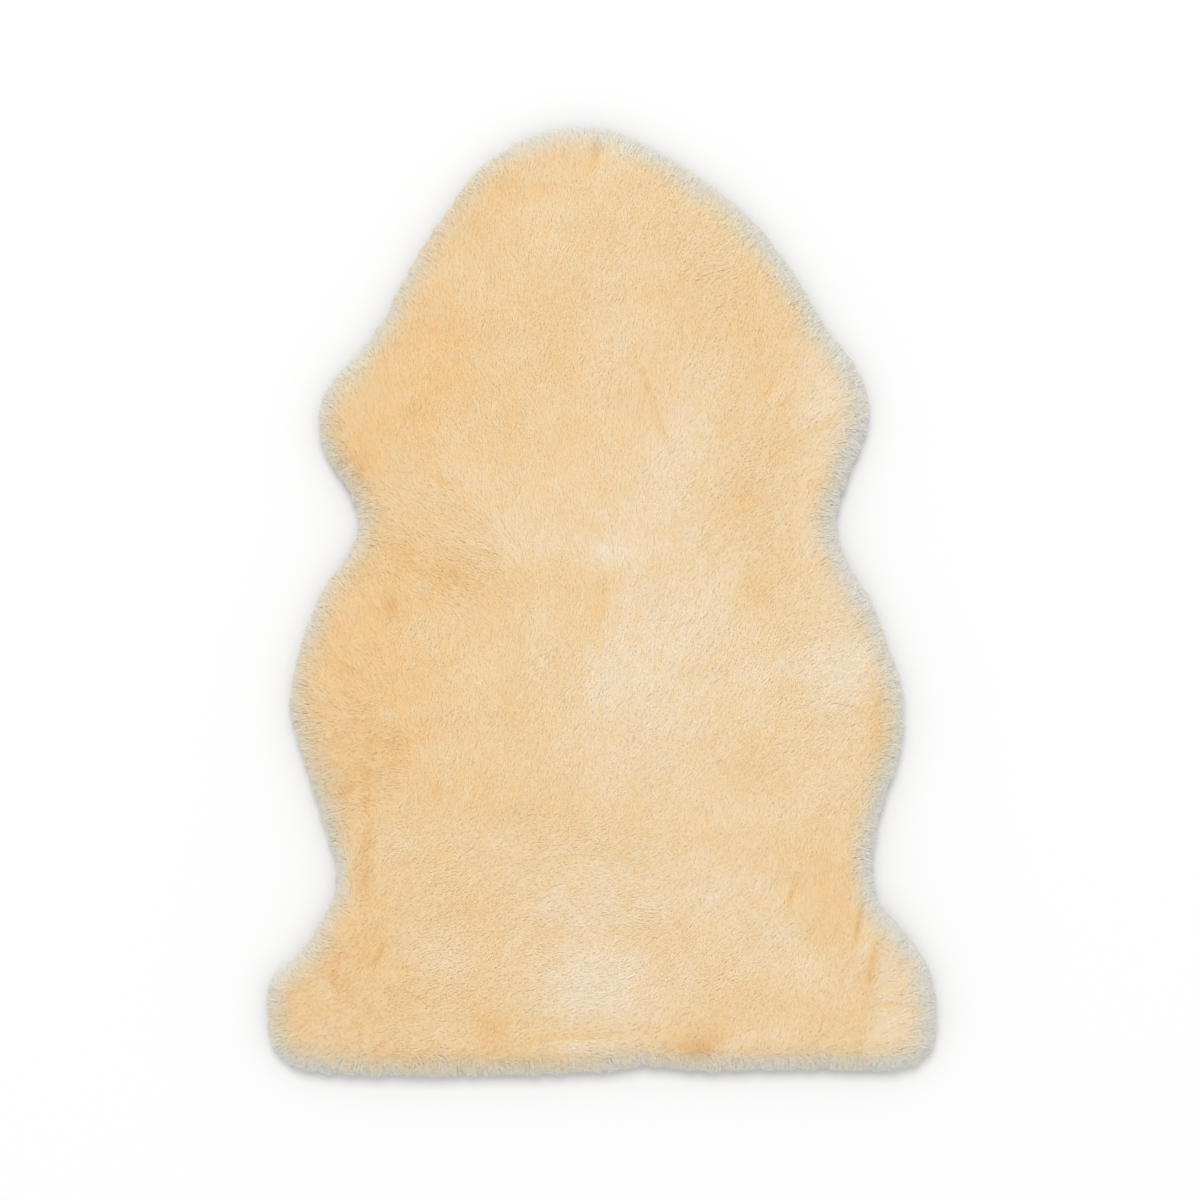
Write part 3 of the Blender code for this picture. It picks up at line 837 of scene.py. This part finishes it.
def remapped(nodes, links, source, given, wanted=(0.0, 1.0)):
    """A value carried over from one range to another."""
    node = nodes.new("ShaderNodeMapRange")
    for socket, value in zip(("From Min", "From Max", "To Min", "To Max"), (*given, *wanted)):
        node.inputs[socket].default_value = value
    links.new(source, node.inputs["Value"])
    return node.outputs["Result"]


def noise_texture(nodes, scale, detail=2.0):
    node = nodes.new("ShaderNodeTexNoise")
    node.inputs["Scale"].default_value = scale
    node.inputs["Detail"].default_value = detail
    return node.outputs["Fac"]


def add_bump(nodes, links, shader, height, strength, distance):
    node = nodes.new("ShaderNodeBump")
    node.inputs["Strength"].default_value = strength
    node.inputs["Distance"].default_value = distance
    links.new(height, node.inputs["Height"])
    links.new(node.outputs["Normal"], shader.inputs["Normal"])


def wool_material(name, glow_share):
    """Wool whose colour follows the fleece's tone, with paler roots that partly paint light into the gaps
    between blades, and paler at the rim, greyed with painted shade.
    """
    material, nodes, links, shader = new_material(name)
    tone = remapped(nodes, links, read_attribute(nodes, "tone"), TONE_RANGE)
    along = remapped(nodes, links, read_attribute(nodes, "along"), ROOT_RANGE)
    # The roots' paler colour partly paints light into the gaps between blades.
    colour = mixed(nodes, links, along, ROOT_COLOUR_AND_LIGHT, ramp(nodes, links, tone, TONE_STOPS))
    # The rim's pale colour, greyed with painted shade.
    colour = mixed(nodes, links, read_attribute(nodes, "pale"), colour, RIM_PALE_AND_SHADE)
    grain = noise_texture(nodes, WOOL_GRAIN)
    rough = remapped(nodes, links, grain, (0.0, 1.0), WOOL_ROUGHNESS)
    links.new(colour, shader.inputs["Base Color"])
    links.new(rough, shader.inputs["Roughness"])
    shader.inputs["Specular IOR Level"].default_value = WOOL_SPECULAR
    add_bump(nodes, links, shader, grain, *WOOL_BUMP)
    glow = nodes.new("ShaderNodeBsdfTranslucent")
    links.new(colour, glow.inputs["Color"])
    both = nodes.new("ShaderNodeMixShader")
    both.inputs["Fac"].default_value = glow_share
    links.new(shader.outputs["BSDF"], both.inputs[1])
    links.new(glow.outputs["BSDF"], both.inputs[2])
    links.new(both.outputs["Shader"], nodes["Material Output"].inputs["Surface"])
    return material


def hide_material():
    """Tanned suede: mottled, with a fine grain."""
    material, nodes, links, shader = new_material("suede_hide")
    mottle = noise_texture(nodes, HIDE_MOTTLE, HIDE_MOTTLE_DETAIL)
    links.new(ramp(nodes, links, mottle, HIDE_STOPS), shader.inputs["Base Color"])
    shader.inputs["Roughness"].default_value = HIDE_ROUGHNESS
    shader.inputs["Specular IOR Level"].default_value = HIDE_SPECULAR
    add_bump(nodes, links, shader, noise_texture(nodes, HIDE_GRAIN), *HIDE_BUMP)
    return material


def floor_material():
    material, _, _, shader = new_material("pale_floor")
    shader.inputs["Base Color"].default_value = FLOOR_WHITE
    shader.inputs["Roughness"].default_value = 1.0
    shader.inputs["Specular IOR Level"].default_value = 0.0
    return material


def make_camera():
    data = bpy.data.cameras.new("camera")
    data.lens = LENS
    data.sensor_width = SENSOR
    camera = make_object("camera", data)
    height = VIEW_LEVEL + VIEW_WIDTH * LENS / SENSOR
    camera.location = (*VIEW_CENTRE, height)
    bpy.context.scene.camera = camera


def make_light():
    world = bpy.data.worlds.new("studio")
    world.use_nodes = True
    background = world.node_tree.nodes["Background"]
    background.inputs["Color"].default_value = (1.0, 1.0, 1.0, 1.0)
    background.inputs["Strength"].default_value = SKY_STRENGTH
    bpy.context.scene.world = world
    data = bpy.data.lights.new("lamp", "AREA")
    data.shape = "SQUARE"
    data.size = LAMP_SIZE
    data.energy = LAMP_POWER
    lamp = make_object("lamp", data)
    lamp.location = LAMP_PLACE
    lamp.rotation_euler = (-Vector(LAMP_PLACE)).to_track_quat("-Z", "Y").to_euler()


def make_floor():
    half = FLOOR_SIZE / 2
    corners = [(-half, -half, 0.0), (half, -half, 0.0), (half, half, 0.0), (-half, half, 0.0)]
    mesh = bpy.data.meshes.new("floor")
    mesh.from_pydata(corners, [], [(0, 1, 2, 3)])
    floor = make_object("floor", mesh)
    floor.data.materials.append(floor_material())


def make_body(solid, widest):
    """The underwool: the pelt's own form, a little smaller and tufted, which the pile stands in."""
    mesh = remeshed(solid, BODY_VOXEL)
    surface = surface_of(mesh)
    inset, _ = inset_and_outward(surface.points, widest)
    tuft = soft_noise(surface.points, BODY_TUFT_PITCH, BODY_TUFT_SEED) * BODY_TUFT
    open_share = opened(surface.points)
    sunk = BODY_DEPTH + BODY_RIM_DEPTH * rim_share(inset) - tuft + PARTING_DROP * open_share
    sunk -= CALM_RISE * calmed(surface.points)
    points = surface.points - surface.normals * sunk[:, None]
    points[:, 2] = np.maximum(points[:, 2], HIDE_THICKNESS / 2)
    mesh.vertices.foreach_set("co", points.reshape(-1))
    mesh.update()
    mesh.shade_smooth()
    mesh.name = "underwool"
    tone = tone_of(surface.points)
    rise = surface.normals[:, 2]
    # Painted shade where the pile opens, and painted light where a tuft stands up.
    add_attribute(mesh, "tone", tone + wall_tone(rise) - PARTING_SHADE_AND_LIGHT * open_share)
    # The rim's pale colour, greyed with painted shade.
    add_attribute(mesh, "pale", rim_pale_and_shade(inset, rise, tone))
    add_attribute(mesh, "along", np.full(len(inset), BODY_ALONG))
    body = make_object("underwool", mesh)
    body.data.materials.append(wool_material("underwool", BODY_GLOW))
    return body


def flat_outline(solid):
    """The ordered border of the solid's flat underside."""
    flat = {face for face in solid.faces if max(v.co.z for v in face.verts) < FLAT_LEVEL}
    follows = {}
    for edge in solid.edges:
        if len([face for face in edge.link_faces if face in flat]) == 1:
            first, second = edge.verts
            follows.setdefault(first, []).append(second)
            follows.setdefault(second, []).append(first)
    start = next(iter(follows))
    loop, last, here = [start], None, start
    while True:
        onward = [vertex for vertex in follows[here] if vertex is not last]
        last, here = here, onward[0]
        if here is start:
            break
        loop.append(here)
    return np.array([vertex.co.xy for vertex in loop])


def make_hide(cut):
    """The tanned skin: a thin closed sheet under the wool, with a cut edge and faint hollows."""
    wave = HIDE_EDGE_WAVE * soft_noise(cut, HIDE_EDGE_PITCH, HIDE_EDGE_SEED)
    loop = cut - unit(cut - cut.mean(axis=0)) * (HIDE_EDGE_WAVE + wave)[:, None]
    low, high = loop.min(axis=0), loop.max(axis=0)
    step = np.array([HIDE_GRID, HIDE_GRID * math.sqrt(3) / 2])
    columns, rows = np.ceil((high - low) / step).astype(int)
    grid = [
        low + step * (column + 0.5 * (row % 2), row) for row in range(rows) for column in range(columns)
    ]
    points = [Vector(point) for point in np.concatenate([loop, grid])]
    made = delaunay_2d_cdt(points, [], [list(range(len(loop)))], INSIDE_BORDER, HIDE_MERGE)
    flat = np.array([tuple(point) for point in made[0]])
    faces = np.array(made[2])
    used = np.unique(faces)
    lookup = np.full(len(flat), -1)
    lookup[used] = np.arange(len(used))
    flat, faces = flat[used], lookup[faces]
    count = len(flat)
    hollow = HIDE_HOLLOW * np.clip(layered(flat, HIDE_HOLLOWS), 0.0, 1.0)
    under = np.column_stack([flat, hollow])
    over = np.column_stack([flat, np.full(count, HIDE_THICKNESS)])
    turned = np.cross(flat[faces[:, 1]] - flat[faces[:, 0]], flat[faces[:, 2]] - flat[faces[:, 0]]) < 0
    faces[turned] = faces[turned][:, ::-1]
    edges = dict.fromkeys(pair for a, b, c in faces.tolist() for pair in ((a, b), (b, c), (c, a)))
    border = [pair for pair in edges if pair[::-1] not in edges]
    sides = [(a, b, b + count, a + count) for a, b in border]
    mesh = bpy.data.meshes.new("hide")
    mesh.from_pydata(
        np.concatenate([under, over]).tolist(),
        [],
        faces[:, ::-1].tolist() + (faces + count).tolist() + sides,
    )
    mesh.update()
    hide = make_object("hide", mesh)
    hide.data.materials.append(hide_material())
    return hide


def make_pile(solid, widest):
    """The pile, cut across into parts of nearly equal count from the neck to the rump."""
    mesh = remeshed(solid, SAMPLE_VOXEL)
    places = scattered(surface_of(mesh), widest)
    bpy.data.meshes.remove(mesh)
    corners, shade, values = blades(places)
    wool = wool_material("wool", BLADE_GLOW)
    order = np.argsort(-places.points[:, 1])
    made = []
    for name, chosen in zip(PILE_PARTS, np.array_split(order, len(PILE_PARTS))):
        picked = {key: value[chosen] for key, value in values.items()}
        part = make_object(name, blade_mesh(name, corners[chosen], shade[chosen], picked))
        part.data.materials.append(wool)
        made.append(part)
    return made


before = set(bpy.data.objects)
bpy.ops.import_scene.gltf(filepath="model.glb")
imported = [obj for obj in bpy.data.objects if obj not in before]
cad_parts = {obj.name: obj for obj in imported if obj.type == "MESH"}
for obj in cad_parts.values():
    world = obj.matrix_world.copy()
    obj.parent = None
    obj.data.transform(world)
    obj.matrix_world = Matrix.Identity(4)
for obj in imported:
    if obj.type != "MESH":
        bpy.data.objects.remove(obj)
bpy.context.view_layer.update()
make_camera()
make_light()
make_floor()

solid = merged_solid(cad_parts["sheepskin"])
widest = rim_line(solid)
cut = flat_outline(solid)
hide = make_hide(cut)
body = make_body(solid, widest)
pile = make_pile(solid, widest)
solid.free()

for piece in (hide, body, *pile):
    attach(piece, "root")
for piece in (body, *pile):
    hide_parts("sheepskin")

bpy.context.scene.view_settings.view_transform = "Standard"
